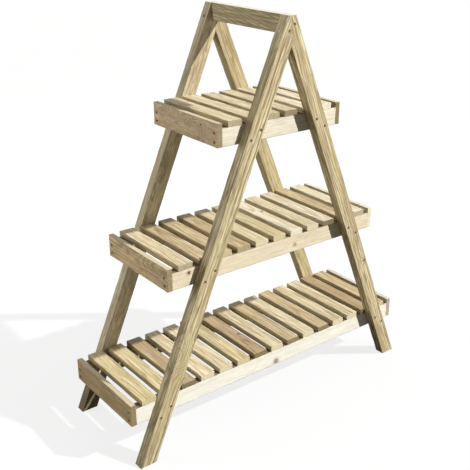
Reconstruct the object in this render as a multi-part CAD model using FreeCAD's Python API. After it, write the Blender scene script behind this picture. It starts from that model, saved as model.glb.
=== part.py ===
import FreeCAD, Part
import math
import os
from FreeCAD import Vector

# Tiered plant stand in softwood: two A-frames joined by a ridge board, with three
# slatted trays screwed between them. Millimetres, +Z up, X along the trays,
# Y from front to back. The origin is on the floor, under the middle of the stand.

# ---------------------------------------------------------------- driving dimensions

# A-frames
overall_height = 1130.0
foot_spread = 974.0          # over the outer edges of one A-frame's two feet
leg_width = 44.0             # square to the leg's length, seen from the front
leg_thickness = 30.0

# ridge board between the two A-frames; the A-frames' flat crowns are as wide as it
ridge_thickness = 28.0
ridge_depth = 48.0

# trays: height of the underside, and how far the ends reach past the legs there
tray_names = ("bottom", "middle", "top")
tray_heights = (116.0, 466.0, 816.0)
tray_overhangs = (52.0, 76.5, 64.5)
tray_depth = 293.0           # front to back, over the rails

rail_depth = 49.0            # height of a rail
rail_thickness = 28.0
end_board_depth = 63.0       # height of an end board
end_board_thickness = 15.0

slat_width = 44.0
slat_thickness = 16.0
slat_gap = 18.0              # aimed at; each tray spreads its slats evenly

arris = 1.5                  # eased edge along the grain of every timber

# countersunk wood screws, driven flush
screw_radius = 2.25          # under the head; the shank tapers to the point
screw_point_radius = 0.8
screw_head_radius = 4.0
screw_flats = 8              # heads, shanks and holes are this many flats round
screw_clearance = 0.1
leg_screw_edge = 12.0        # from the leg's edges, square to them
rail_screw_edge = 13.0       # from a rail's lower and upper edges
end_board_screw_length = 50.0
ridge_screw_length = 70.0
ridge_screw_offset = 8.5     # each side of the middle
ridge_screw_drops = (39.0, 23.0)  # below the crown, left leg and right leg
apex_screw_length = 50.0
apex_screw_drop = 37.0       # below the crown, where it enters the leg's outer edge

# rectangular brads through the slats into the rails
brad_width = 1.6
brad_length = 32.0
brad_sink = 0.5
brad_clearance = 0.1
brad_inset = 7.5             # from the rail's inner face
brad_spread = 12.0           # each side of the slat's centre line
brad_to_screw = 2.5          # left between a leg screw's tip and the line of brads

LEFT, RIGHT = -1, 1
FRONT, REAR = -1, 1
SIDE_NAMES = {LEFT: "left", RIGHT: "right"}
FRAME_NAMES = {FRONT: "front", REAR: "rear"}

# ---------------------------------------------------------------- what follows from them

crown_width = ridge_thickness
lean = math.atan((foot_spread - crown_width) / 2 / overall_height)
leg_level_width = leg_width / math.cos(lean)   # measured level, as where it meets a rail
half_depth = tray_depth / 2                    # the legs' inner faces and rails' outer faces
leg_screw_length = (leg_thickness + rail_thickness
                    - brad_inset - brad_width / 2 - brad_to_screw)


def leg_outer_x(z):
    """Distance from the middle to a leg's outer edge at height z."""
    return crown_width / 2 + (overall_height - z) * math.tan(lean)


def leg_inner_x(z):
    """Distance from the middle to a leg's inner edge at height z."""
    return leg_outer_x(z) - leg_level_width


# ---------------------------------------------------------------- shapes

def prism(outline, depth):
    """A closed outline pushed out along a vector."""
    return Part.Face(Part.makePolygon(outline + outline[:1])).extrude(depth)


def ease(timber, grain):
    """Take off the arrises that run along the grain."""
    edges = [edge for edge in timber.Edges
             if abs(edge.tangentAt(edge.FirstParameter).dot(grain)) > 0.999]
    return timber.makeChamfer(arris, edges)


def board(low, high, grain):
    """A straight timber between two corners, with eased arrises."""
    size = high - low
    return ease(Part.makeBox(size.x, size.y, size.z, low), grain)


def turned(outline, head, direction):
    """Rings of (radius, depth), each with a few flats, joined along direction from head."""
    turns = [2 * math.pi * corner / screw_flats for corner in range(screw_flats)]
    rings = [[Vector(radius * math.cos(turn), radius * math.sin(turn), depth) for turn in turns]
             for radius, depth in outline]
    faces = [rings[0], rings[-1]]
    for upper, lower in zip(rings, rings[1:]):
        faces += [[upper[k - 1], upper[k], lower[k], lower[k - 1]] for k in range(screw_flats)]
    solid = Part.Solid(Part.Shell([Part.Face(Part.makePolygon(face + face[:1])) for face in faces]))
    solid.Placement = FreeCAD.Placement(head, FreeCAD.Rotation(Vector(0, 0, 1), direction))
    return solid


def screw_outline(length, slack):
    """Countersunk head and tapered shank, widened by slack."""
    cone = screw_head_radius - screw_radius
    return [(screw_head_radius + slack, 0),
            (screw_radius + slack, cone),
            (screw_point_radius + slack, length + slack)]


def screw(head, direction, length):
    """A screw whose head is flush with the surface, and the hole that it goes in."""
    mouth = (screw_head_radius + screw_clearance, -screw_head_radius)
    hole_outline = [mouth] + screw_outline(length, screw_clearance)
    return (turned(screw_outline(length, 0), head, direction),
            turned(hole_outline, head, direction))


def brad(x, y, slat_top):
    """A brad driven straight down, and its hole."""
    half = brad_width / 2
    top = slat_top - brad_sink
    solid = Part.makeBox(brad_width, brad_width, brad_length,
                         Vector(x - half, y - half, top - brad_length))
    wide = brad_width + 2 * brad_clearance
    low = top - brad_length - brad_clearance
    hole = Part.makeBox(wide, wide, slat_top + brad_sink - low,
                        Vector(x - wide / 2, y - wide / 2, low))
    return solid, hole


# ---------------------------------------------------------------- the assembly

timbers = {}     # node name: solid
holes = {}       # node name: holes to cut in it
fasteners = {}   # node name: solids


def fasten(node, pair, through):
    """Put a fastener in its node, and its hole in each timber that it goes through."""
    solid, hole = pair
    fasteners.setdefault(node, []).append(solid)
    for name in through:
        holes.setdefault(name, []).append(hole)


def leg_name(frame, side):
    return f"{FRAME_NAMES[frame]}_{SIDE_NAMES[side]}_leg"


def make_leg(frame, side):
    """Foot cut level, crown cut level, and a plumb mitre against the other leg."""
    mitre_foot = overall_height - (leg_level_width - crown_width / 2) / math.tan(lean)
    inner_face = frame * half_depth
    outline = [Vector(side * leg_outer_x(0), inner_face, 0),
               Vector(side * leg_inner_x(0), inner_face, 0),
               Vector(0, inner_face, mitre_foot),
               Vector(0, inner_face, overall_height),
               Vector(side * crown_width / 2, inner_face, overall_height)]
    leg = prism(outline, Vector(0, frame * leg_thickness, 0))
    grain = Vector(-side * math.sin(lean), 0, math.cos(lean))
    timbers[leg_name(frame, side)] = ease(leg, grain)


def make_ridge():
    """The ridge board, and the screws that hold each A-frame's crown to its ends."""
    corner = Vector(ridge_thickness / 2, half_depth, overall_height)
    low = Vector(-corner.x, -corner.y, overall_height - ridge_depth)
    timbers["ridge_board"] = board(low, corner, Vector(1, 0, 0).cross(Vector(0, 0, 1)))
    for frame in (FRONT, REAR):
        face = frame * (half_depth + leg_thickness)
        inward = Vector(0, -frame, 0)
        for side, drop in zip((LEFT, RIGHT), ridge_screw_drops):
            start = Vector(side * ridge_screw_offset, face, overall_height - drop)
            fasten("ridge_screws", screw(start, inward, ridge_screw_length),
                   (leg_name(frame, side), "ridge_board"))
        # one screw across each mitre, square to the left leg's outer edge
        entry_z = overall_height - apex_screw_drop
        entry = Vector(-leg_outer_x(entry_z), frame * (half_depth + leg_thickness / 2), entry_z)
        across = Vector(math.cos(lean), 0, -math.sin(lean))
        fasten("apex_screws", screw(entry, across, apex_screw_length),
               (leg_name(frame, LEFT), leg_name(frame, RIGHT)))


def make_tray(tray, bottom, overhang):
    """Two rails, two end boards over the rails' ends, and slats across the rails."""
    half_length = leg_outer_x(bottom) + overhang
    rail_end = half_length - end_board_thickness
    rail_top = bottom + rail_depth
    slat_top = rail_top + slat_thickness
    along_x, along_y = Vector(1, 0, 0), Vector(0, 1, 0)

    for frame in (FRONT, REAR):
        outer, inner = frame * half_depth, frame * (half_depth - rail_thickness)
        timbers[f"{tray}_{FRAME_NAMES[frame]}_rail"] = board(
            Vector(-rail_end, min(outer, inner), bottom),
            Vector(rail_end, max(outer, inner), rail_top), along_x)
    for side in (LEFT, RIGHT):
        near, far = side * rail_end, side * half_length
        timbers[f"{tray}_{SIDE_NAMES[side]}_end_board"] = board(
            Vector(min(near, far), -half_depth, bottom),
            Vector(max(near, far), half_depth, bottom + end_board_depth), along_y)

    for side in (LEFT, RIGHT):
        for frame in (FRONT, REAR):
            rail = f"{tray}_{FRAME_NAMES[frame]}_rail"
            for z in (bottom + rail_screw_edge, rail_top - rail_screw_edge):
                start = Vector(side * half_length, frame * (half_depth - rail_thickness / 2), z)
                fasten("end_board_screws",
                       screw(start, Vector(-side, 0, 0), end_board_screw_length),
                       (f"{tray}_{SIDE_NAMES[side]}_end_board", rail))
            # the lower screw is near the leg's outer edge, the upper one near its inner edge
            edge = leg_screw_edge / math.cos(lean)
            low_z, high_z = bottom + rail_screw_edge, rail_top - rail_screw_edge
            for x, z in ((leg_outer_x(low_z) - edge, low_z), (leg_inner_x(high_z) + edge, high_z)):
                start = Vector(side * x, frame * (half_depth + leg_thickness), z)
                fasten("leg_screws", screw(start, Vector(0, -frame, 0), leg_screw_length),
                       (leg_name(frame, side), rail))

    count = round((2 * rail_end - slat_gap) / (slat_width + slat_gap))
    gap = (2 * rail_end - count * slat_width) / (count + 1)
    for index in range(count):
        left = -rail_end + gap + index * (slat_width + gap)
        slat = f"{tray}_slat_{index + 1:02d}"
        timbers[slat] = board(Vector(left, -half_depth, rail_top),
                              Vector(left + slat_width, half_depth, slat_top), along_y)
        for frame in (FRONT, REAR):
            y = frame * (half_depth - rail_thickness + brad_inset)
            for shift in (-brad_spread, brad_spread):
                fasten(f"{tray}_slat_brads", brad(left + slat_width / 2 + shift, y, slat_top),
                       (slat, f"{tray}_{FRAME_NAMES[frame]}_rail"))


for frame in (FRONT, REAR):
    for side in (LEFT, RIGHT):
        make_leg(frame, side)
make_ridge()
for tray, bottom, overhang in zip(tray_names, tray_heights, tray_overhangs):
    make_tray(tray, bottom, overhang)

# ---------------------------------------------------------------- one file per piece

os.makedirs("parts", exist_ok=True)
for name, timber in timbers.items():
    drilled = timber.cut(holes[name])
    drilled.Solids[0].exportStep(f"parts/{name}.step")
for name, solids in fasteners.items():
    Part.makeCompound(solids).exportStep(f"parts/{name}.step")
print(len(timbers), "timbers and", sum(len(s) for s in fasteners.values()), "fasteners in",
      len(fasteners), "groups")
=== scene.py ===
import math
from dataclasses import dataclass

import bpy
import numpy as np
from mathutils import Matrix, Vector


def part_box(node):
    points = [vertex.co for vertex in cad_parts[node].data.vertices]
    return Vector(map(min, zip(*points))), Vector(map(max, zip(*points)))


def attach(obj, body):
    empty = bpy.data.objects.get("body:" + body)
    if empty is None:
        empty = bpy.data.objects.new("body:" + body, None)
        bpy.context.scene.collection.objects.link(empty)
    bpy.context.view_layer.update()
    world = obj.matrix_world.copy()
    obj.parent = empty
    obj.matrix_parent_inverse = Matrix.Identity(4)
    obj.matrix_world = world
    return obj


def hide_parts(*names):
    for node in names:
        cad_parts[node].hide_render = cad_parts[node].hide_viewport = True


# Tiered plant stand in pressure-treated softwood. Each timber of the frame is replaced by
# a board with worn arrises, raised growth rings, knots and countersunk screw holes, and
# each fastener by a screw or brad with its real head. Metres; X along the trays, Y to the
# back, Z up.

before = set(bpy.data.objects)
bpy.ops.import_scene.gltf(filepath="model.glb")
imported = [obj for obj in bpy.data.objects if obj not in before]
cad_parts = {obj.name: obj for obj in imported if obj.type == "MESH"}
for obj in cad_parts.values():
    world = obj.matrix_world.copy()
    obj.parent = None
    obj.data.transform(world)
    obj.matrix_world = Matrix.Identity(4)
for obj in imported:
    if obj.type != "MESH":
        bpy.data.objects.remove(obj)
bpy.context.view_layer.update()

MM = 0.001
TRAYS = ("bottom", "middle", "top")
SIDES = {"left": -1, "right": 1}
ENDS = {"front": -1, "rear": 1}


def add_object(name, data):
    thing = bpy.data.objects.new(name, data)
    bpy.context.collection.objects.link(thing)
    return thing


# ---------------------------------------------------------------- the photograph's view

PICTURE_SIDE = 470                     # pixels
FOCAL_LENGTH = 784.9                   # pixels
LENS_AXIS = (288.8, 219.4)             # pixel that the lens points at
CAMERA_PLACE = (-1.3140, -1.6707, 1.3702)
CAMERA_RIGHT = (0.75571, -0.65444, 0.02480)
CAMERA_UP = (0.22244, 0.29212, 0.93015)
SENSOR_WIDTH = 36.0                    # millimetres, as camera data has it


def make_camera():
    data = bpy.data.cameras.new("camera")
    data.sensor_width = SENSOR_WIDTH
    data.lens = FOCAL_LENGTH * SENSOR_WIDTH / PICTURE_SIDE
    data.shift_x = (PICTURE_SIDE / 2 - LENS_AXIS[0]) / PICTURE_SIDE
    data.shift_y = (LENS_AXIS[1] - PICTURE_SIDE / 2) / PICTURE_SIDE
    camera = add_object("camera", data)
    right, up = Vector(CAMERA_RIGHT), Vector(CAMERA_UP)
    camera.matrix_world = (Matrix.Translation(CAMERA_PLACE)
                           @ Matrix((right, up, right.cross(up))).transposed().to_4x4())
    bpy.context.scene.camera = camera


# ---------------------------------------------------------------- timbers read from the frame

LEG_WIDTH = 44 * MM


class Board:
    """A timber with its own axes: x along the grain, y across its width, z through it."""

    def __init__(self, name, origin, grain, across, size):
        self.name = name
        self.origin = np.array(origin)
        self.axes = np.array([grain, across, Vector(grain).cross(Vector(across))])
        self.length, self.width, self.thickness = size
        self.start = lambda y: 0 * y               # x where the board starts and ends
        self.end = lambda y: 0 * y + self.length
        self.end_slope = 1.0           # cosine between each end cut and a square one
        self.creases = []              # y where an end changes its slope

    def to_world(self, points):
        return points @ self.axes + self.origin

    def to_board(self, points):
        return (np.asarray(points) - self.origin) @ self.axes.T


def straight_board(name):
    low, high = (np.array(corner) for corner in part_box(name))
    size = high - low
    thin, wide, long = np.argsort(size)
    grain, across = np.eye(3)[long], np.eye(3)[wide]
    return Board(name, (low + high) / 2 - grain * size[long] / 2, grain, across,
                 (size[long], size[wide], size[thin]))


def leg_board(end, side):
    """A leg from its level foot cut to its level crown and plumb mitre."""
    name = f"{end}_{side}_leg"
    low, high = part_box(name)
    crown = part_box("ridge_board")[1].x
    height, reach = high.z, max(-low.x, high.x)
    lean = math.atan((reach - crown) / height)
    sine, cosine = math.sin(lean), math.cos(lean)
    hand = SIDES[side]
    across = Vector((hand * cosine, 0, sine))
    half = LEG_WIDTH / 2
    origin = Vector((hand * reach, (low.y + high.y) / 2, 0)) - half * across
    board = Board(name, origin, (-hand * sine, 0, cosine), across,
                  (height / cosine, LEG_WIDTH, high.y - low.y))
    board.start = lambda y: (half - y) * sine / cosine
    board.end = lambda y: np.minimum((height + (half - y) * sine) / cosine,
                                     (reach - (half - y) * cosine) / sine)
    board.end_slope = cosine
    board.creases = [half - (reach * cosine - height * sine)]
    return board


# ---------------------------------------------------------------- fasteners read from the frame

def loose_solids(node):
    """The corners of each separate solid in a node."""
    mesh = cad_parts[node].data
    corners = np.array([vertex.co[:] for vertex in mesh.vertices])
    places, which = np.unique(np.round(corners, 6), axis=0, return_inverse=True)
    which = which.reshape(-1)
    group = np.arange(len(places))
    for face in mesh.polygons:
        ids = group[which[list(face.vertices)]]
        group[np.isin(group, ids)] = ids.min()
    return [places[group == label] for label in np.unique(group)]


def fastener_axis(corners):
    """Head centre, direction from head to point, and length."""
    middle = corners.mean(0)
    axis = np.linalg.svd(corners - middle)[2][0]
    along = (corners - middle) @ axis
    spread = np.linalg.norm(corners - middle - np.outer(along, axis), axis=1)
    widest = along[np.argmax(spread)] if np.ptp(spread) > 0.1 * MM else axis[2]
    if widest > 0:
        axis, along = -axis, -along
    return middle + axis * along.min(), axis, along.max() - along.min()


# ---------------------------------------------------------------- wood

WEATHERED = (0.62, 0.59, 0.50)         # linear colours of tops that lie open to the sky
DUSTY = (0.42, 0.38, 0.27)


@dataclass
class Wood:
    """How one board was cut from its tree, and how it looks."""

    tone: str                          # a key of TONES
    seed: int
    pith: tuple = (8, 45)              # mm from the board's middle, across and through
    ring: float = 4.0                  # mm from one growth ring to the next
    drift: tuple = (6, 4)              # mm that the pith wanders along the board
    slope: tuple = (0, 0)              # mm that the pith moves in each metre
    figure: float = 1.0                # how wavy the rings are
    curl: float = 0.0                  # mm that they swirl besides
    streaky: float = 1.0               # how far fine streaks break them up
    contrast: float = 0.6              # between soft and hard wood
    stain: float = 0.3                 # of broad bands along the grain
    mottle: float = 0.25               # of patches of preservative
    ends: float = 0.0                  # how dark the end grain is
    bleach: float = 0.0                # how far the weather has turned its top
    top: tuple = WEATHERED             # to this colour
    foot_shade: float = 0.0                  # how dark the painted shade at its foot is
    knots: tuple = ()                  # (x, y, z, radius, darkness), mm in the frame's axes
    streaks: tuple = ()                # (x, y, z, x, y, z, half width, darkness), likewise


NO_KNOT = 3.0                          # value of "eye" away from every knot
KNOT_SHOWS = 0.2                       # least darkness of a knot that shows
KNOT_SWELL = 1.7                       # rings that it pushes aside
BURL_SWELL = 5.0                       # and that swirl where no knot shows
KNOT_FLOW = (0.5, 1, 1)                # the grain bends round a knot over twice its length
KNOT_REACH = 2.0                       # how far it bends, in the knot's radii
KNOT_LEAN = 0.25                       # how far a branch leans along the grain


def waves(points, lengths, seed, count=6):
    """Smooth repeatable noise of about -1 to 1, with a wavelength for each axis. Each use
    adds its own number to the board's seed."""
    draw = np.random.default_rng(seed)
    turns = draw.uniform(0.6, 1.6, (count, 3)) * draw.choice((-1, 1), (count, 3))
    phases = draw.uniform(0, 2 * np.pi, count)
    steps = 2 * np.pi * points @ (turns / np.array(lengths)).T + phases
    return np.sin(steps).sum(1) / math.sqrt(count)


def smooth_step(value, low, high):
    share = np.clip((value - low) / (high - low), 0, 1)
    return share * share * (3 - 2 * share)


def growth(board, wood, points):
    """Growth ring number, distance to the nearest knot in its radii, and its darkness."""
    x, y, z = points.T
    along = np.outer(x, (1, 0, 0))
    pith_y, pith_z = (
        MM * (wood.pith[k] + wood.drift[k] * waves(along, (0.7, 1, 1), wood.seed + k, 4))
        + MM * wood.slope[k] * (x - board.length / 2) for k in (0, 1))
    radius = np.hypot(y - pith_y, z - pith_z)
    radius = radius + MM * wood.figure * (1.1 * waves(points, (0.16, 0.05, 0.05), wood.seed + 2)
                                          + 0.4 * waves(points, (0.05, 0.02, 0.02), wood.seed + 3))
    radius = radius + MM * wood.curl * waves(points, (0.06, 0.04, 0.04), wood.seed + 4)
    ring = radius / (wood.ring * MM)
    ring = ring + 0.35 * np.sin(ring / 2.7 + wood.seed)
    eye, heart = np.full(len(points), NO_KNOT), np.zeros(len(points))
    for *place, size, darkness in wood.knots:
        centre = board.to_board(np.array(place) * MM)
        axis = centre - np.array((centre[0], MM * wood.pith[0], MM * wood.pith[1]))
        axis[0] = KNOT_LEAN * np.linalg.norm(axis)
        axis /= np.linalg.norm(axis)
        away = points - centre
        away = away - np.outer(away @ axis, axis)
        off = np.linalg.norm(away, axis=1) / (size * MM)
        flow = np.linalg.norm(away * KNOT_FLOW, axis=1) / (size * MM)
        swell = KNOT_SWELL if darkness > KNOT_SHOWS else BURL_SWELL
        ring = ring + swell * np.exp(-(flow / KNOT_REACH) ** 2)
        heart = np.where(off < eye, darkness, heart)
        eye = np.minimum(eye, off)
    return ring, eye, heart


def resin(board, wood, points):
    """How strongly the board's resin streaks mark each point."""
    shade = np.zeros(len(points))
    for *ends, half_width, darkness in wood.streaks:
        first, last = board.to_board(np.array(ends).reshape(2, 3) * MM)
        way = last - first
        share = np.clip((points - first) @ way / (way @ way), 0, 1)
        off = np.linalg.norm(points - first - np.outer(share, way), axis=1)
        half = half_width * MM * (0.3 + 0.7 * np.sin(np.pi * share) ** 0.5)
        shade = np.maximum(shade, darkness * np.exp(-(off / half) ** 2))
    return shade


def latewood(ring):
    """1 in the dark, hard band that ends each ring, 0 in the soft wood."""
    share = ring % 1
    return smooth_step(share, 0.35, 0.85) * (1 - smooth_step(share, 0.9, 1.0))


# ---------------------------------------------------------------- a board's mesh

FACE_STEP = 1.7 * MM
GRAIN_STEP = 7 * MM
KNOT_STEP = 1.5 * MM
EDGE_LINES = (0, 0.4 * MM, 0.9 * MM, 1.6 * MM, 2.5 * MM)   # from each arris
ARRIS = 1.7 * MM                       # mean radius of an arris along the grain
END_ARRIS = 0.8 * MM
RING_RELIEF = 0.14 * MM                # how deep the soft wood has worn
FACE_RELIEF = 0.12 * MM
END_RELIEF = 0.1 * MM
RIM = (0.7 * MM, 3.6 * MM)             # an arris's wear and painted shade fade between these distances
FOOT = (60 * MM, 180 * MM)             # and the painted shade in a foot fades out between these heights


def lines_across(size, creases=()):
    """Grid lines from edge to edge of a section, closer near the arrises."""
    inner = size / 2 - EDGE_LINES[-1]
    middle = np.linspace(-inner, inner, max(2, round(2 * inner / FACE_STEP)) + 1)
    edge = size / 2 - np.array(EDGE_LINES[:-1])
    lines = np.sort(np.concatenate((-edge, middle, edge)))
    for crease in creases:
        lines[np.argmin(np.abs(lines - crease))] = crease
    return lines


def stations(board, wood):
    """Where the sections lie: (share of the length, distance added to it)."""
    step = GRAIN_STEP / (1 + wood.curl / 2)
    share = np.linspace(0, 1, round(board.length / step) + 1)[1:-1]
    for *place, size, _ in wood.knots:
        middle = board.to_board(np.array(place) * MM)[0]
        reach = 2.6 * size * MM
        near = np.arange(middle - reach, middle + reach, KNOT_STEP) / board.length
        share = np.concatenate((share[(share < near[0]) | (share > near[-1])], near))
    share = np.sort(share[(share * board.length > 2 * EDGE_LINES[-1])
                          & ((1 - share) * board.length > 2 * EDGE_LINES[-1])])
    share = share[np.diff(share, prepend=0) * board.length > KNOT_STEP / 3]
    edge = np.array(EDGE_LINES)
    return (np.concatenate((0 * edge, share, 0 * edge + 1)),
            np.concatenate((edge, 0 * share, -edge[::-1])))


def box_surface(counts):
    """Numbers for the grid points on a box's surface, and the faces between them."""
    inside = np.ones(counts, bool)
    inside[1:-1, 1:-1, 1:-1] = False
    number = np.full(counts, -1)
    number[inside] = np.arange(inside.sum())
    faces = []
    for axis in range(3):
        for end in (0, -1):
            sheet = np.take(number, end, axis)
            if (axis == 1) == (end == 0):
                sheet = sheet.T
            faces.append(np.stack((sheet[:-1, :-1], sheet[:-1, 1:], sheet[1:, 1:],
                                   sheet[1:, :-1]), -1).reshape(-1, 4))
    return inside, np.concatenate(faces)


def pull_round(first, second, radius):
    """Distances from two faces that meet, moved so that their arris has this radius."""
    out = np.hypot(radius - first, radius - second)
    near = (first < radius) & (second < radius) & (out > radius)
    shrink = np.where(near, radius / np.maximum(out, 1e-9), 1)
    return (np.where(near, radius - (radius - first) * shrink, first),
            np.where(near, radius - (radius - second) * shrink, second))


def worn_board(board, wood):
    """Corners and faces of the board with its worn arrises, before holes and relief."""
    share, extra = stations(board, wood)
    across = lines_across(board.width, board.creases)
    through = lines_across(board.thickness)
    counts = (len(share), len(across), len(through))
    surface, faces = box_surface(counts)
    i, j, k = (index[surface] for index in np.indices(counts))
    y, z = across[j], through[k]
    start, end = board.start(y), board.end(y)
    x = start + share[i] * (end - start) + extra[i]

    points = np.stack((x, y, z), 1)
    corner = np.sign(y) + 2 * np.sign(z)
    wear = waves(np.stack((x, 0 * x, corner), 1), (0.09, 1, 3.1), wood.seed + 10)
    nick = smooth_step(waves(np.stack((x, 0 * x, corner), 1), (0.035, 1, 2.3), wood.seed + 11),
                       1.25, 1.9)
    radius = ARRIS + 0.35 * MM * wear + 1.3 * MM * nick
    from_side, from_face = pull_round(board.width / 2 - abs(y), board.thickness / 2 - abs(z),
                                      radius)
    end_radius = END_ARRIS * (1 + 0.3 * waves(points, (0.02, 0.02, 0.02), wood.seed + 12))
    from_start, from_end = (x - start) * board.end_slope, (end - x) * board.end_slope
    from_start, from_side = pull_round(from_start, from_side, end_radius)
    from_start, from_face = pull_round(from_start, from_face, end_radius)
    from_end, from_side = pull_round(from_end, from_side, end_radius)
    from_end, from_face = pull_round(from_end, from_face, end_radius)
    y = np.sign(y) * (board.width / 2 - from_side)
    z = np.sign(z) * (board.thickness / 2 - from_face)
    x = np.where(share[i] < 0.5, board.start(y) + from_start / board.end_slope,
                 board.end(y) - from_end / board.end_slope)
    return np.stack((x, y, z), 1), faces


def mesh_from(name, points, faces):
    mesh = bpy.data.meshes.new(name)
    mesh.from_pydata([tuple(point) for point in points.tolist()], [], faces)
    return mesh


def cut_out(mesh, cutter):
    """The mesh less the cutter's solids."""
    objects = [add_object(data.name, data) for data in (mesh, cutter)]
    cut = objects[0].modifiers.new("holes", "BOOLEAN")
    cut.operation = "DIFFERENCE"
    cut.solver = "MANIFOLD"
    cut.object = objects[1]
    result = bpy.data.meshes.new_from_object(
        objects[0].evaluated_get(bpy.context.evaluated_depsgraph_get()))
    for thing in objects:
        data = thing.data
        bpy.data.objects.remove(thing)
        bpy.data.meshes.remove(data)
    return result


def make_board(board, wood, holes):
    """The finished mesh, in the frame's axes, with what its material reads."""
    points, faces = worn_board(board, wood)
    mesh = mesh_from(board.name, points, faces.tolist())
    if holes:
        mesh = cut_out(mesh, holes_mesh(board, holes))
    count = len(mesh.vertices)
    points, normals = np.empty(3 * count), np.empty(3 * count)
    mesh.vertices.foreach_get("co", points)
    mesh.vertex_normals.foreach_get("vector", normals)
    points, normals = points.reshape(-1, 3), normals.reshape(-1, 3)

    ring, eye, heart = growth(board, wood, points)
    late = latewood(ring)
    knot = heart * (1 - smooth_step(eye, 0.85, 1.15))
    cut = smooth_step(abs(normals[:, 0]), 0.6, 0.95)
    # how near an arris: where its wear and painted shade go
    rim = 1 - smooth_step(np.hypot(board.width / 2 - abs(points[:, 1]),
                                   board.thickness / 2 - abs(points[:, 2])), *RIM)
    sunk = RING_RELIEF * (1 - late) * (1 - knot)
    sunk += FACE_RELIEF * (1 + waves(points, (0.11, 0.03, 0.03), wood.seed + 20)) / 2
    sunk += END_RELIEF * cut * (1 + waves(points, (0.01, 0.003, 0.004), wood.seed + 21))
    points = points - normals * np.clip(sunk, 0, None)[:, None]
    points[:, 0] = np.clip(points[:, 0], board.start(points[:, 1]), board.end(points[:, 1]))

    upward = smooth_step(normals @ board.axes[:, 2], 0.6, 0.9)
    uneven = 25 * MM * waves(points, (0.2, 0.02, 0.02), wood.seed + 22)
    # painted shade, darker towards the foot
    foot_shade = 1 - smooth_step(points[:, 0] + uneven, *FOOT)
    for name, values in (("ring", ring), ("eye", eye), ("heart", heart), ("rim", rim),
                         ("cut", cut), ("resin", resin(board, wood, points)),
                         # painted shade: the rails' upward faces are darkened where they lie under
                         # and between the slats
                         ("crevice_shade", upward * board.name.endswith("rail")),
                         ("bleach", upward * wood.bleach),
                         ("foot_shade", wood.foot_shade * foot_shade)):
        mesh.attributes.new(name, "FLOAT", "POINT").data.foreach_set(
            "value", values.astype(np.float32))
    offset = np.random.default_rng(wood.seed).uniform(0, 40, 3)
    mesh.attributes.new("grain", "FLOAT_VECTOR", "POINT").data.foreach_set(
        "vector", (points + offset).astype(np.float32).ravel())
    mesh.vertices.foreach_set("co", board.to_world(points).astype(np.float32).ravel())
    mesh.shade_smooth()
    mesh.set_sharp_from_angle(angle=math.radians(50))
    mesh.update()
    return mesh


# ---------------------------------------------------------------- holes

HEAD_RADIUS = 4.0 * MM
HEAD_SINK = 0.7 * MM
MOUTH_RADIUS = HEAD_RADIUS + 0.25 * MM
PILOT_RADIUS = 2.4 * MM
BRAD_HOLE = 2.0 * MM / math.sqrt(2)    # centre to corner
HOLES = {                              # rings of (depth, radius), and sides
    "screw": (((-1.5 * MM, MOUTH_RADIUS), (HEAD_SINK + 0.5 * MM, MOUTH_RADIUS),
               (HEAD_SINK + 2.2 * MM, PILOT_RADIUS), (5 * MM, PILOT_RADIUS)), 24),
    "brad": (((-1.5 * MM, BRAD_HOLE), (1.5 * MM, BRAD_HOLE)), 4),
}


def cone(head, axis, rings, sides):
    """Corners and faces of a closed round solid from (depth, radius) pairs."""
    axis = Vector(axis)
    turn = axis.to_track_quat("Z", "Y").to_matrix()
    points = [turn @ Vector((radius * math.cos(2 * math.pi * (k + 0.5) / sides),
                             radius * math.sin(2 * math.pi * (k + 0.5) / sides), depth))
              + Vector(head) for depth, radius in rings for k in range(sides)]
    faces = [list(range(sides))[::-1], list(range((len(rings) - 1) * sides, len(rings) * sides))]
    for ring in range(len(rings) - 1):
        for k in range(sides):
            a, b = ring * sides + k, ring * sides + (k + 1) % sides
            faces.append([a, b, b + sides, a + sides])
    return points, faces


def holes_mesh(board, holes):
    points, faces = [], []
    for head, axis, kind in holes:
        more, sheets = cone(board.to_board(head), board.axes @ np.array(axis), *HOLES[kind])
        faces += [[len(points) + corner for corner in sheet] for sheet in sheets]
        points += more
    return mesh_from("holes", np.array([tuple(point) for point in points]), faces)


# ---------------------------------------------------------------- materials

def add(tree, kind, **settings):
    """A node with these values in its sockets, or its properties."""
    node = tree.nodes.new(kind)
    for name, value in settings.items():
        if name in node.inputs:
            node.inputs[name].default_value = value
        else:
            setattr(node, name, value)
    return node


def feed(tree, sockets, values):
    """Link each socket to its value, or set it where the value is a plain one."""
    for socket, value in zip(sockets, values):
        if isinstance(value, bpy.types.NodeSocket):
            tree.links.new(value, socket)
        else:
            socket.default_value = value


def math_node(tree, operation, *values, clamp=False):
    node = add(tree, "ShaderNodeMath", operation=operation, use_clamp=clamp)
    feed(tree, node.inputs, values)
    return node.outputs[0]


def ramp_between(tree, value, low, high, to_low=0.0, to_high=1.0):
    node = add(tree, "ShaderNodeMapRange", interpolation_type="SMOOTHSTEP",
               **{"From Min": low, "From Max": high, "To Min": to_low, "To Max": to_high})
    tree.links.new(value, node.inputs["Value"])
    return node.outputs["Result"]


def mix_colour(tree, share, first, second, blend="MIX"):
    node = add(tree, "ShaderNodeMix", data_type="RGBA", blend_type=blend)
    feed(tree, (node.inputs["Factor"], node.inputs[6], node.inputs[7]), (share, first, second))
    return node.outputs[2]


def cover(tree, colour, share, amount, over):
    """A colour with another laid over it, as strongly as share times amount."""
    return mix_colour(tree, math_node(tree, "MULTIPLY", share, amount), colour, over)


def noise(tree, place, scales, detail=3.0, roughness=0.55):
    """Noise stretched by a scale, per metre, along each of the board's axes."""
    stretch = add(tree, "ShaderNodeVectorMath", operation="MULTIPLY")
    tree.links.new(place, stretch.inputs[0])
    stretch.inputs[1].default_value = scales
    node = add(tree, "ShaderNodeTexNoise", Scale=1.0, Detail=detail, Roughness=roughness)
    tree.links.new(stretch.outputs[0], node.inputs["Vector"])
    return node.outputs["Fac"]


def attribute(tree, name, output="Fac"):
    return add(tree, "ShaderNodeAttribute", attribute_name=name).outputs[output]


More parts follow.
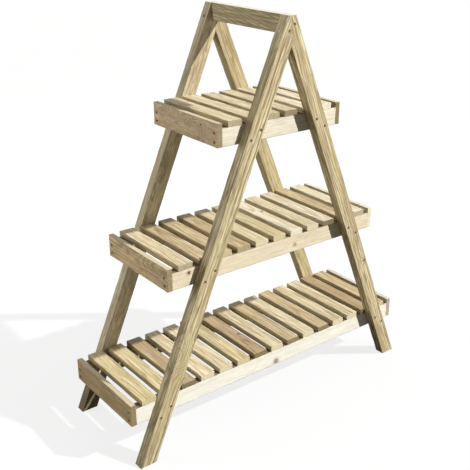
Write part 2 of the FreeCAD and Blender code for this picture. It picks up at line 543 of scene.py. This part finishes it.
# linear colours that every board shares
GREEN_PATCH = (0.27, 0.25, 0.15, 1)    # preservative, and the pinker wood between its patches
PINK_PATCH = (0.45, 0.31, 0.20, 1)
RESIN_CANAL = (0.16, 0.10, 0.045, 1)
RESIN = (0.17, 0.085, 0.028, 1)
KNOT_DARK = (0.035, 0.021, 0.010, 1)
KNOT_PALE = (0.21, 0.125, 0.05, 1)
KNOT_HALO = (0.30, 0.17, 0.07, 1)
# ends soaked with preservative, and painted shadow on some ends
SOAKED_AND_SHADOWED_END = (0.16, 0.125, 0.06, 1)
# painted shade for the rails' tops under the slats
CREVICE_SHADE = (0.10, 0.06, 0.025, 1)
# painted shade for the feet
SHADED_FOOT = (0.12, 0.08, 0.04, 1)
WORN_AND_SHADED_ARRIS = (0.20, 0.165, 0.105, 1)


def wood_group():
    """Turns a board's growth rings and knots into colour, roughness and height."""
    tree = bpy.data.node_groups.new("softwood", "ShaderNodeTree")
    for way, kind, names in (("INPUT", "NodeSocketColor", ("Pale", "Dark", "Stain", "Top")),
                             ("INPUT", "NodeSocketFloat", ("Stain Amount", "Contrast", "Mottle",
                                                           "End Darkness", "Streaky")),
                             ("OUTPUT", "NodeSocketColor", ("Color",)),
                             ("OUTPUT", "NodeSocketFloat", ("Roughness", "Height"))):
        for name in names:
            tree.interface.new_socket(name, in_out=way, socket_type=kind)
    given = tree.nodes.new("NodeGroupInput").outputs
    result = tree.nodes.new("NodeGroupOutput").inputs

    place = attribute(tree, "grain", "Vector")
    ring, eye, heart, rim, cut = (attribute(tree, name)
                                  for name in ("ring", "eye", "heart", "rim", "cut"))

    fibres = noise(tree, place, (45, 1300, 1300), 4)
    streaks = noise(tree, place, (7, 240, 240), 3)
    bands = noise(tree, place, (2.2, 60, 60), 3)
    patches = noise(tree, place, (17, 48, 48), 4, 0.6)
    flecks = noise(tree, place, (22, 330, 330), 3)

    # growth rings, a little ragged, each with its own strength
    ragged = math_node(tree, "MULTIPLY_ADD", streaks,
                       math_node(tree, "MULTIPLY", given["Streaky"], 0.6), ring)
    share = math_node(tree, "FRACT", ragged)
    late = math_node(tree, "MULTIPLY", ramp_between(tree, share, 0.35, 0.8),
                     ramp_between(tree, share, 0.86, 1.0, 1, 0))
    own = add(tree, "ShaderNodeTexWhiteNoise", noise_dimensions="1D")
    tree.links.new(math_node(tree, "FLOOR", ragged), own.inputs["W"])
    late = math_node(tree, "MULTIPLY", late,
                     math_node(tree, "MULTIPLY_ADD", own.outputs["Value"], 0.75, 0.25))
    not_cut = math_node(tree, "SUBTRACT", 1.0, cut)
    late = math_node(tree, "MULTIPLY", late, math_node(tree, "MULTIPLY_ADD", not_cut, 0.5, 0.5))
    colour = cover(tree, given["Pale"], late, given["Contrast"], given["Dark"])

    # long streaks and broad bands
    streaked = math_node(tree, "MULTIPLY", given["Contrast"], given["Streaky"])
    colour = cover(tree, colour, ramp_between(tree, streaks, 0.44, 0.68),
                   math_node(tree, "MULTIPLY", streaked, 0.8), given["Dark"])
    colour = cover(tree, colour, ramp_between(tree, bands, 0.44, 0.66),
                   given["Stain Amount"], given["Stain"])
    colour = cover(tree, colour, ramp_between(tree, patches, 0.48, 0.62),
                   given["Mottle"], GREEN_PATCH)
    colour = cover(tree, colour, ramp_between(tree, patches, 0.34, 0.46, 1, 0),
                   given["Mottle"], PINK_PATCH)
    # dark resin canals and fine fibres
    colour = cover(tree, colour, ramp_between(tree, flecks, 0.57, 0.70),
                   math_node(tree, "MULTIPLY", streaked, 0.7), RESIN_CANAL)
    value = math_node(tree, "MULTIPLY_ADD", fibres, 0.6, 0.7)
    lines = ramp_between(tree, noise(tree, place, (11, 420, 420), 2), 0.3, 0.7, -0.28, 0.28)
    value = math_node(tree, "MULTIPLY", value,
                      math_node(tree, "MULTIPLY_ADD", lines, streaked, 1.0))
    colour = mix_colour(tree, 1.0, colour, value, "MULTIPLY")
    # resin streaks, broken up along the grain
    broken = ramp_between(tree, noise(tree, place, (25, 300, 300), 3), 0.32, 0.6, 0.35, 1)
    colour = cover(tree, colour, attribute(tree, "resin"), broken, RESIN)
    # knots, with their own rings
    circles = math_node(tree, "SINE", math_node(tree, "MULTIPLY", eye, 22.0))
    knot_colour = mix_colour(tree, math_node(tree, "MULTIPLY_ADD", circles, 0.12, 0.4),
                             KNOT_DARK, KNOT_PALE)
    colour = cover(tree, colour, ramp_between(tree, eye, 0.9, 2.3, 0.5, 0), heart, KNOT_HALO)
    knot = math_node(tree, "MULTIPLY", ramp_between(tree, eye, 0.75, 1.15, 1, 0), heart)
    colour = mix_colour(tree, knot, colour, knot_colour)
    # sawn ends are fresh and pale, or soak up preservative and dirt; some dark ends are a painted
    # shadow
    freshness = math_node(tree, "SUBTRACT", 0.6, given["End Darkness"], clamp=True)
    colour = cover(tree, colour, cut, freshness, given["Pale"])
    colour = cover(tree, colour, cut, given["End Darkness"], SOAKED_AND_SHADOWED_END)
    # painted shade on the rails' tops under and between the slats, weather on tops, and painted
    # shade darkening the feet
    colour = cover(tree, colour, attribute(tree, "crevice_shade"), 0.88, CREVICE_SHADE)
    colour = mix_colour(tree, attribute(tree, "bleach"), colour, given["Top"])
    colour = mix_colour(tree, attribute(tree, "foot_shade"), colour, SHADED_FOOT)
    # arrises darkened by handling wear and by painted shade along the edges
    arris_wear_and_shade = ramp_between(tree, noise(tree, place, (60, 400, 400), 3), 0.38, 0.68)
    colour = cover(tree, colour, rim, math_node(tree, "MULTIPLY_ADD", arris_wear_and_shade, 0.4, 0.1), WORN_AND_SHADED_ARRIS)
    tree.links.new(colour, result["Color"])

    rough = math_node(tree, "MULTIPLY_ADD", fibres, 0.25, 0.58)
    rough = math_node(tree, "MULTIPLY_ADD", late, -0.12, rough)
    rough = math_node(tree, "MULTIPLY_ADD", cut, 0.15, rough, clamp=True)
    tree.links.new(rough, result["Roughness"])

    height = math_node(tree, "MULTIPLY_ADD", late, 0.35, fibres)
    height = math_node(tree, "MULTIPLY_ADD", streaks, 0.5, height)
    height = math_node(tree, "MULTIPLY_ADD", knot, 0.3, height)
    tree.links.new(height, result["Height"])
    return tree


# soft wood, hard wood and stain of each kind of board; linear colours
TONES = {
    "white": ((0.70, 0.68, 0.60), (0.44, 0.36, 0.24), (0.62, 0.56, 0.43)),
    "chalk": ((0.66, 0.61, 0.49), (0.42, 0.33, 0.21), (0.58, 0.51, 0.38)),
    "rail": ((0.63, 0.56, 0.41), (0.39, 0.29, 0.16), (0.54, 0.45, 0.30)),
    "pale": ((0.66, 0.61, 0.46), (0.32, 0.24, 0.13), (0.54, 0.47, 0.31)),
    "cream": ((0.60, 0.53, 0.36), (0.27, 0.19, 0.09), (0.46, 0.38, 0.22)),
    "straw": ((0.55, 0.47, 0.28), (0.24, 0.17, 0.075), (0.41, 0.34, 0.165)),
    "tan": ((0.50, 0.41, 0.25), (0.21, 0.14, 0.065), (0.36, 0.265, 0.14)),
    "brown": ((0.40, 0.31, 0.18), (0.165, 0.105, 0.05), (0.29, 0.20, 0.105)),
    "leg": ((0.62, 0.53, 0.32), (0.18, 0.12, 0.05), (0.38, 0.29, 0.145)),
    "dusk": ((0.50, 0.42, 0.24), (0.16, 0.105, 0.045), (0.33, 0.25, 0.12)),
    "ash": ((0.66, 0.58, 0.39), (0.24, 0.18, 0.09), (0.46, 0.37, 0.21)),
    "board": ((0.77, 0.59, 0.33), (0.26, 0.17, 0.085), (0.50, 0.35, 0.175)),
    "umber": ((0.58, 0.44, 0.24), (0.24, 0.15, 0.06), (0.42, 0.29, 0.135)),
    "rose": ((0.77, 0.59, 0.37), (0.27, 0.18, 0.10), (0.50, 0.36, 0.20)),
    "grey": ((0.47, 0.44, 0.34), (0.22, 0.18, 0.12), (0.36, 0.31, 0.21)),
}


def new_material(name):
    """A material, its nodes and its shader."""
    material = bpy.data.materials.new(name)
    material.use_nodes = True
    return material, material.node_tree, material.node_tree.nodes["Principled BSDF"]


def finish_shader(tree, shader, colour, roughness, height, strength, distance):
    """Link the shader's colour and roughness, and a bump of this strength and depth."""
    bump = add(tree, "ShaderNodeBump", Strength=strength, Distance=distance)
    tree.links.new(height, bump.inputs["Height"])
    for name, output in (("Base Color", colour), ("Roughness", roughness),
                         ("Normal", bump.outputs["Normal"])):
        tree.links.new(output, shader.inputs[name])


def wood_material(name, wood, group):
    material, tree, shader = new_material(name)
    shader.inputs["Specular IOR Level"].default_value = 0.28
    node = add(tree, "ShaderNodeGroup", node_tree=group)
    for socket, colour in zip(("Pale", "Dark", "Stain", "Top"), (*TONES[wood.tone], wood.top)):
        node.inputs[socket].default_value = (*colour, 1)
    for socket, share in (("Stain Amount", wood.stain), ("Contrast", wood.contrast),
                          ("Mottle", wood.mottle), ("End Darkness", wood.ends),
                          ("Streaky", wood.streaky)):
        node.inputs[socket].default_value = share
    finish_shader(tree, shader, *node.outputs, strength=0.55, distance=0.35 * MM)
    return material


def steel_material(name, colour, dull, metallic):
    """Plated steel with a worn, uneven plating."""
    material, tree, shader = new_material(name)
    shader.inputs["Metallic"].default_value = metallic
    place = add(tree, "ShaderNodeTexCoord").outputs["Object"]
    blotches = noise(tree, place, (900, 900, 900), 3)
    scratches = noise(tree, place, (4000, 700, 4000), 2)
    dark = tuple(0.35 * channel for channel in colour)
    plating = mix_colour(tree, ramp_between(tree, blotches, 0.4, 0.7), (*colour, 1), (*dark, 1))
    finish_shader(tree, shader, plating, math_node(tree, "MULTIPLY_ADD", blotches, 0.3, dull),
                  scratches, strength=0.3, distance=0.05 * MM)
    return material


# ---------------------------------------------------------------- which wood each board is

SLAT_TONES = {
    "bottom": "straw straw brown cream cream straw brown cream tan cream tan cream cream brown tan",
    "middle": "cream tan tan tan cream straw pale cream pale tan pale",
    "top": "cream cream cream cream pale pale",
}
RAIL_TONES = {"bottom": "white", "middle": "rail", "top": "chalk"}
RAIL_CONTRAST = {"bottom": 0.15, "middle": 0.25, "top": 0.25}
END_TONES = {"bottom": ("umber", "grey"), "middle": ("board", "pale"), "top": ("rose", "tan")}
DARK_ENDS = {                          # slat by slat, from the left
    # bottom slat 14's dark front end is a painted shadow of the front-right leg
    "bottom": {3: 0.9, 7: 0.8, 9: 0.8, 11: 0.85, 14: 0.9},
    "middle": {1: 0.4, 4: 0.3, 9: 0.95, 11: 0.5},
    "top": {1: 0.4, 3: 0.45, 4: 0.75},
}
RIGHT_ENDS = {"bottom": 0.3, "middle": 0.0, "top": 0.8}
# painted shade darkening each leg towards its foot
FEET_SHADE = {"front_left": 0.25, "front_right": 0.12, "rear_left": 0.8, "rear_right": 0.3}
LEG_BLEACH = 0.7


def legs_wood():
    return {
        "front_left_leg": Wood("leg", 101, pith=(-75, 16), ring=9.5, drift=(3, 5), stain=0.45,
                               contrast=0.9, figure=1.8),
        "front_right_leg": Wood("leg", 102, pith=(60, 40), ring=6.0, contrast=0.95, stain=0.85),
        "rear_left_leg": Wood("ash", 103, pith=(6, -30), ring=6.0, slope=(20, 25),
                              contrast=0.6, stain=0.6, figure=1.6),
        "rear_right_leg": Wood("dusk", 104, pith=(20, 60), ring=6.0, contrast=0.7, stain=0.6),
        "ridge_board": Wood("leg", 105, pith=(-70, 12), ring=8.0, slope=(110, 0),
                            contrast=0.8, stain=0.6, ends=0.3, bleach=0.9),
    }


def tray_wood(tray, seed):
    left, right = END_TONES[tray]
    woods = {
        f"{tray}_front_rail": Wood(RAIL_TONES[tray], seed, pith=(12, -55), ring=7.0,
                                   contrast=RAIL_CONTRAST[tray], stain=0.4, mottle=0.03),
        f"{tray}_rear_rail": Wood("cream", seed + 1, pith=(5, 50), ring=5.0),
        f"{tray}_left_end_board": Wood(left, seed + 2, pith=(30, 22), ring=5.0, figure=0.6,
                                       slope=(40, 30), contrast=0.7, stain=0.6, ends=0.75,
                                       mottle=0.2, bleach=0.75, top=DUSTY),
        f"{tray}_right_end_board": Wood(right, seed + 3, pith=(-20, 30), ring=6.0,
                                        contrast=0.7, stain=0.5, bleach=0.4,
                                        ends=RIGHT_ENDS[tray]),
    }
    draw = np.random.default_rng(seed)
    for index, tone in enumerate(SLAT_TONES[tray].split(), 1):
        woods[f"{tray}_slat_{index:02d}"] = Wood(
            tone, seed + 10 + index, pith=(draw.uniform(-25, 25), draw.uniform(18, 60)),
            ring=draw.uniform(3.2, 5.5), slope=(draw.uniform(-20, 20), draw.uniform(-30, 30)),
            drift=(3, 2), figure=0.4, contrast=draw.uniform(0.6, 0.9),
            stain=draw.uniform(0.3, 0.8), mottle=draw.uniform(0.05, 0.25),
            ends=DARK_ENDS[tray].get(index, 0.0))
    return woods


KNOTS = {                              # where they show, as Wood.knots
    "middle_front_rail": ((-303, -146.5, 503, 4.5, 1.0), (58, -146.5, 487, 6.0, 0.45)),
    "bottom_front_rail": ((-3.4, -146.5, 127, 8.5, 0.6),),
    "middle_slat_07": ((74.5, 24.6, 531, 3.4, 1.0),),
    "top_left_end_board": ((-210, -76, 862, 2.6, 0.9), (-210, 18, 842, 18.0, 0.0),
                           (-210, 84, 862, 15.0, 0.0), (-210, -46, 828, 15.0, 0.0)),
    "middle_left_end_board": ((-370, 10, 545, 18.0, 0.0),),
    "bottom_slat_07": ((-51, -26, 181, 6.0, 0.5),),
    "front_left_leg": ((-335, -176.5, 274, 9.0, 0.0),),
    "front_right_leg": ((318, -176.5, 376, 5.0, 0.6),),
}
STREAKS = {                            # as Wood.streaks
    "front_left_leg": ((-15, -176.5, 1081, -58, -176.5, 985, 2.6, 0.9),
                       (-52, -176.5, 996, -90, -176.5, 905, 3.0, 0.9),
                       (-121, -176.5, 821, -180, -176.5, 674, 2.6, 0.9),
                       (-282, -176.5, 435, -306, -176.5, 388, 2.2, 0.6),
                       (-311, -176.5, 316, -328, -176.5, 276, 3.5, 0.6)),
    # a broad band darkening the upper front of this leg, above the top tray
    "rear_left_leg": ((-20, 146.5, 1060, -95, 146.5, 880, 26, 0.5),),
    "front_right_leg": ((239, -176.5, 565, 287, -176.5, 449, 3.0, 0.6),
                        (318, -176.5, 392, 326, -176.5, 358, 4.0, 0.55),
                        (345, -176.5, 300, 368, -176.5, 240, 3.0, 0.6)),
}


def all_woods():
    woods = legs_wood()
    for number, tray in enumerate(TRAYS):
        woods.update(tray_wood(tray, 200 + 100 * number))
    marbled = woods["top_left_end_board"]
    marbled.mottle, marbled.contrast, marbled.curl, marbled.streaky = 0.35, 1.0, 3.0, 0.2
    marbled.pith, marbled.ring, marbled.slope = (5, 90), 3.6, (0, 0)
    for leg, foot_shade in FEET_SHADE.items():
        woods[f"{leg}_leg"].bleach = LEG_BLEACH
        woods[f"{leg}_leg"].foot_shade = foot_shade
    for node, knots in KNOTS.items():
        woods[node].knots = knots
    for node, streaks in STREAKS.items():
        woods[node].streaks = streaks
    return woods


# ---------------------------------------------------------------- screws and brads

SCREW_SIDES = 32
RECESS_WIDTH = 0.75 * MM               # half a cross arm
RECESS_REACH = 2.3 * MM
RECESS_DEPTH = 1.6 * MM
HEAD_RINGS = (0.5, 0.8, 1.1, 1.5, 1.9, 2.2, 2.5, 3.0, 3.6, 3.85)   # mm
SHANK_RADIUS = 1.7 * MM
CREST_RADIUS = 2.2 * MM
CORE_RADIUS = 1.35 * MM
TIP_RADIUS = 0.9 * MM
THREAD_PITCH = 2.4 * MM
THREAD_STEPS = 4                       # sections in one turn of thread
THREAD_HALF_WIDTH = 0.28               # turns
PLAIN_SHARE = 0.3                      # of a screw has no thread
POINT = 2 * MM                         # from the last ring to the tip


def recess(x, y):
    """Depth of the cross recess under a point of the head."""
    arm = min(max(abs(x) - RECESS_REACH, abs(y) - RECESS_WIDTH),
              max(abs(y) - RECESS_REACH, abs(x) - RECESS_WIDTH))
    return RECESS_DEPTH * float(smooth_step(-arm, 0, 0.45 * MM))


def screw_mesh(length, turned):
    """Rings of corners from the head's middle over its rim and down to the point."""
    sides = SCREW_SIDES
    rings = [(radius * MM, 0) for radius in HEAD_RINGS]
    plain = PLAIN_SHARE * length
    rings += [(HEAD_RADIUS, 0.25 * MM), (3.9 * MM, 0.45 * MM), (1.9 * MM, 2.6 * MM),
              (SHANK_RADIUS, 4 * MM), (SHANK_RADIUS, plain)]
    threaded = np.arange(plain + 0.5 * MM, length - 5 * MM, THREAD_PITCH / THREAD_STEPS)
    points = [(0, 0, RECESS_DEPTH)]
    angles = 2 * np.pi * np.arange(sides) / sides
    for radius, depth in rings:
        for angle in angles:
            x, y = radius * math.cos(angle + turned), radius * math.sin(angle + turned)
            sunk = recess(radius * math.cos(angle), radius * math.sin(angle)) if depth == 0 else 0
            points.append((x, y, depth + sunk))
    for depth in threaded:
        for angle in angles:
            turn = (depth / THREAD_PITCH - angle / (2 * np.pi)) % 1
            crest = max(0.0, 1 - abs(turn - 0.5) / THREAD_HALF_WIDTH)
            radius = CORE_RADIUS + (CREST_RADIUS - CORE_RADIUS) * crest
            points.append((radius * math.cos(angle), radius * math.sin(angle), depth))
    points += [(TIP_RADIUS * math.cos(angle), TIP_RADIUS * math.sin(angle), length - POINT)
               for angle in angles]
    points.append((0, 0, length))
    faces = [[0, 1 + (k + 1) % sides, 1 + k] for k in range(sides)]
    count = (len(points) - 2) // sides
    for ring in range(count - 1):
        for k in range(sides):
            a, b = 1 + ring * sides + k, 1 + ring * sides + (k + 1) % sides
            faces.append([a, b, b + sides, a + sides])
    last = 1 + (count - 1) * sides
    faces += [[last + k, last + (k + 1) % sides, len(points) - 1] for k in range(sides)]
    return points, faces


def brad_mesh(length):
    """Square wire with a slightly rounded top and a chisel point."""
    half = 0.75 * MM
    rings = [(0.45 * MM, 0), (half, 0.25 * MM), (half, length - 3 * MM), (0.1 * MM, length)]
    points, faces = cone((0, 0, 0), (0, 0, 1), [(depth, radius * math.sqrt(2))
                                                for radius, depth in rings], 4)
    return [tuple(point) for point in points], faces


def make_fasteners(node, fasteners, slot, material, rear_material=None):
    """One piece for a node's fasteners, each where the frame has it."""
    points, faces = [], []
    draw = np.random.default_rng(len(node))
    for head, axis, length in fasteners:
        if slot == "screw_steel":
            more, sheets = screw_mesh(length - HEAD_SINK, draw.uniform(0, 0.8))
            head = head + axis * HEAD_SINK
        else:
            more, sheets = brad_mesh(length)
        turn = Vector(axis).to_track_quat("Z", "Y").to_matrix()
        faces += [[len(points) + corner for corner in sheet] for sheet in sheets]
        points += [tuple(turn @ Vector(point) + Vector(head)) for point in more]
    mesh = mesh_from(node, np.array(points), faces)
    mesh.shade_smooth()
    mesh.set_sharp_from_angle(angle=math.radians(40))
    finish_piece(f"{node}_steel", mesh, node, material)
    if rear_material:
        mesh.materials.append(rear_material)
        for face in mesh.polygons:
            face.material_index = int(face.center.y > 0)


# ---------------------------------------------------------------- pieces

def finish_piece(name, mesh, node, material):
    mesh.materials.clear()
    mesh.materials.append(material)
    piece = add_object(name, mesh)
    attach(piece, "root")
    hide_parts(node)
    return piece


def visible_holes(board, heads):
    """The fasteners whose heads are in this board."""
    low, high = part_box(board.name)
    low, high = np.array(low) - 0.3 * MM, np.array(high) + 0.3 * MM
    found = []
    for node, fasteners in heads.items():
        kind = "screw" if node.endswith("screws") else "brad"
        if (kind == "brad") != ("slat" in board.name):
            continue
        for head, axis, _ in fasteners:
            if not ((head > low) & (head < high)).all():
                continue
            inside = board.to_board(head)
            if abs(inside[1]) < board.width / 2 + MM and abs(inside[2]) < board.thickness / 2 + MM:
                found.append((head, axis, kind))
    return found


def make_timbers(heads):
    group = wood_group()
    woods = all_woods()
    boards = [leg_board(end, side) for end in ENDS for side in SIDES]
    boards += [straight_board(node) for node in woods if not node.endswith("_leg")]
    pieces = {}
    for board in boards:
        wood = woods[board.name]
        mesh = make_board(board, wood, visible_holes(board, heads))
        pieces[board.name] = finish_piece(f"{board.name}_wood", mesh, board.name,
                                          wood_material(board.name, wood, group))
    return pieces


# ---------------------------------------------------------------- floor and light

TO_SUN = (0.88, -1.0, 1.09)
SUN = 5.6                              # watts per square metre
RAIL_SUN = 6.7                         # the front rails get no fill, only more sun
HORIZON = (0.05, 0.038, 0.022, 1)      # the dome's light, from low down and from overhead
ZENITH = (0.70, 0.68, 0.67, 1)
WHITE = (1, 1, 1, 1)
SOFTBOXES = {                          # place and diameter in metres, and watts
    "softbox": ((-2.9, 1.7, 1.2), 2.0, 50),
    "back": ((0.9, 3.2, 2.2), 2.0, 30),
    "fill": ((2.6, -2.6, 1.0), 2.4, 35),
}
SOFTBOX_AIM = (0, 0, 0.6)
FLOOR_REACH = 30
FLOOR_TINT = (0.1, 0.1, 0.1, 1)
FLOOR_GLOW = 0.81                      # keeps the floor that the camera sees pale
CARD_INSET = 1 * MM                    # from the leg's faces
CARD_REACH = (-20 * MM, 14 * MM)       # along the leg, from the slats' tops
SHEET_DROP = 8 * MM                    # below the rails' tops
SHEET_GAPS = (1 * MM, 18 * MM, 3 * MM) # to the front rail, the rear rail and the end boards


def seen_and_lighting(tree, seen, lighting):
    """One shader for what the camera sees directly and another for the light it gives."""
    path = add(tree, "ShaderNodeLightPath")
    mix = add(tree, "ShaderNodeMixShader")
    feed(tree, mix.inputs, (path.outputs["Is Camera Ray"], lighting.outputs[0],
                            seen.outputs[0]))
    return mix.outputs[0]


def make_floor():
    corners = [(-1, -1, 0), (1, -1, 0), (1, 1, 0), (-1, 1, 0)]
    mesh = mesh_from("floor", FLOOR_REACH * np.array(corners), [[0, 1, 2, 3]])
    floor = add_object("floor", mesh)
    material, tree, _ = new_material("floor")
    tree.nodes.clear()
    seen = add(tree, "ShaderNodeBsdfPrincipled", Roughness=1.0,
               **{"Base Color": FLOOR_TINT, "Emission Color": WHITE,
                  "Emission Strength": FLOOR_GLOW})
    bounce = add(tree, "ShaderNodeBsdfDiffuse", Color=FLOOR_TINT)
    output = add(tree, "ShaderNodeOutputMaterial")
    tree.links.new(seen_and_lighting(tree, seen, bounce), output.inputs["Surface"])
    mesh.materials.append(material)


def make_world():
    world = bpy.data.worlds.new("studio")
    bpy.context.scene.world = world
    world.use_nodes = True
    tree = world.node_tree
    tree.nodes.clear()
    seen = add(tree, "ShaderNodeBackground", Color=WHITE, Strength=1.0)
    lighting = add(tree, "ShaderNodeBackground", Strength=1.0)
    way = add(tree, "ShaderNodeSeparateXYZ")
    tree.links.new(add(tree, "ShaderNodeTexCoord").outputs["Generated"], way.inputs[0])
    climb = math_node(tree, "MAXIMUM", way.outputs["Z"], 0.0)
    tree.links.new(mix_colour(tree, math_node(tree, "MULTIPLY", climb, climb), HORIZON, ZENITH),
                   lighting.inputs["Color"])
    output = add(tree, "ShaderNodeOutputWorld")
    tree.links.new(seen_and_lighting(tree, seen, lighting), output.inputs["Surface"])


def linked(name, pieces, state):
    """A collection for a light: INCLUDE means only these pieces, EXCLUDE all but them."""
    group = bpy.data.collections.new(name)
    for piece in pieces:
        group.objects.link(piece)
    for entry in group.collection_objects:
        entry.light_linking.link_state = state
    return group


def make_sun(name, energy, receivers, receiving, clear=()):
    """A key light that some things receive or don't, and that some cast no shadow in."""
    data = bpy.data.lights.new(name, "SUN")
    data.energy = energy
    data.angle = math.radians(1.6)
    sun = add_object(name, data)
    sun.rotation_euler = Vector(TO_SUN).to_track_quat("Z", "Y").to_euler()
    sun.light_linking.receiver_collection = linked(f"{name} lights", receivers, receiving)
    if clear:
        sun.light_linking.blocker_collection = linked(f"{name} passes", clear, "EXCLUDE")


def make_card(name, points, faces):
    card = add_object(name, mesh_from(name, points, faces))
    card.visible_camera = card.visible_diffuse = card.visible_glossy = False


def make_cards():
    """Cards that shape the key light: in the front legs, for the shade on the slats beside
    them, and under the upper trays' slats, to keep stripes of light off the rear legs."""
    for side in SIDES:
        leg = leg_board("front", side)
        half_width, half_thickness = leg.width / 2 - CARD_INSET, leg.thickness / 2 - CARD_INSET
        for tray in TRAYS:
            if (side, tray) == ("left", "bottom"):
                continue
            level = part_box(f"{tray}_slat_01")[1].z / leg.end_slope
            rings = [(level + reach, 1) for reach in CARD_REACH]
            square, faces = cone((0, 0, 0), (0, 0, 1), rings, 4)
            corners = [(along, math.copysign(half_width, across),
                        math.copysign(half_thickness, through))
                       for across, through, along in square]
            make_card(f"card_{side}_{tray}", leg.to_world(np.array(corners)), faces)
    for tray in ("middle", "top"):
        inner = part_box(f"{tray}_front_rail")[1]
        front, back = inner.y + SHEET_GAPS[0], -inner.y - SHEET_GAPS[1]
        edge, z = inner.x - SHEET_GAPS[2], inner.z - SHEET_DROP
        make_card(f"card_{tray}", np.array([(-edge, front, z), (edge, front, z),
                                            (edge, back, z), (-edge, back, z)]), [[0, 1, 2, 3]])


def make_softbox(name, place, size, energy):
    data = bpy.data.lights.new(name, "AREA")
    data.shape = "DISK"
    data.size = size
    data.energy = energy
    box = add_object(name, data)
    place = Vector(place)
    turn = (place - Vector(SOFTBOX_AIM)).to_track_quat("Z", "Y")
    box.matrix_world = Matrix.Translation(place) @ turn.to_matrix().to_4x4()
    return box


# ---------------------------------------------------------------- the scene

make_camera()
make_floor()
make_world()
heads = {node: [fastener_axis(corners) for corners in loose_solids(node)]
         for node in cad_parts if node.endswith(("screws", "brads"))}
timbers = make_timbers(heads)
dark_steel = steel_material("blackened screws", (0.30, 0.21, 0.12), 0.45, 0.6)
brown_steel = steel_material("rusted screws", (0.36, 0.20, 0.11), 0.45, 0.6)
# bright zinc for the brads; on the front apex screw the brightness is also a painted highlight
zinc_and_highlight_steel = steel_material("zinc screws", (0.93, 0.92, 0.88), 0.35, 0.3)
for node, fasteners in heads.items():
    if node.endswith("brads"):
        make_fasteners(node, fasteners, "brad_steel", zinc_and_highlight_steel)
    # the front apex screw is painted bright as a highlight; its rear twin is dark steel
    elif node == "apex_screws":
        make_fasteners(node, fasteners, "screw_steel", zinc_and_highlight_steel, rear_material=dark_steel)
    else:
        make_fasteners(node, fasteners, "screw_steel",
                       brown_steel if node == "end_board_screws" else dark_steel)

slats = [piece for node, piece in timbers.items() if "slat" in node]
front_legs = [timbers["front_left_leg"], timbers["front_right_leg"]]
rails = [timbers[f"{tray}_front_rail"] for tray in TRAYS]
make_sun("sun", SUN, slats + rails, "EXCLUDE")
make_sun("sun on slats", SUN, slats, "INCLUDE", clear=front_legs)
make_sun("sun on the low rail", RAIL_SUN, rails[:1], "INCLUDE", clear=front_legs[:1])
make_sun("sun on the upper rails", RAIL_SUN, rails[1:], "INCLUDE")
softboxes = {name: make_softbox(name, *setting) for name, setting in SOFTBOXES.items()}
softboxes["fill"].light_linking.receiver_collection = linked("fill lights", rails, "EXCLUDE")
make_cards()
bpy.context.scene.view_settings.view_transform = "Standard"
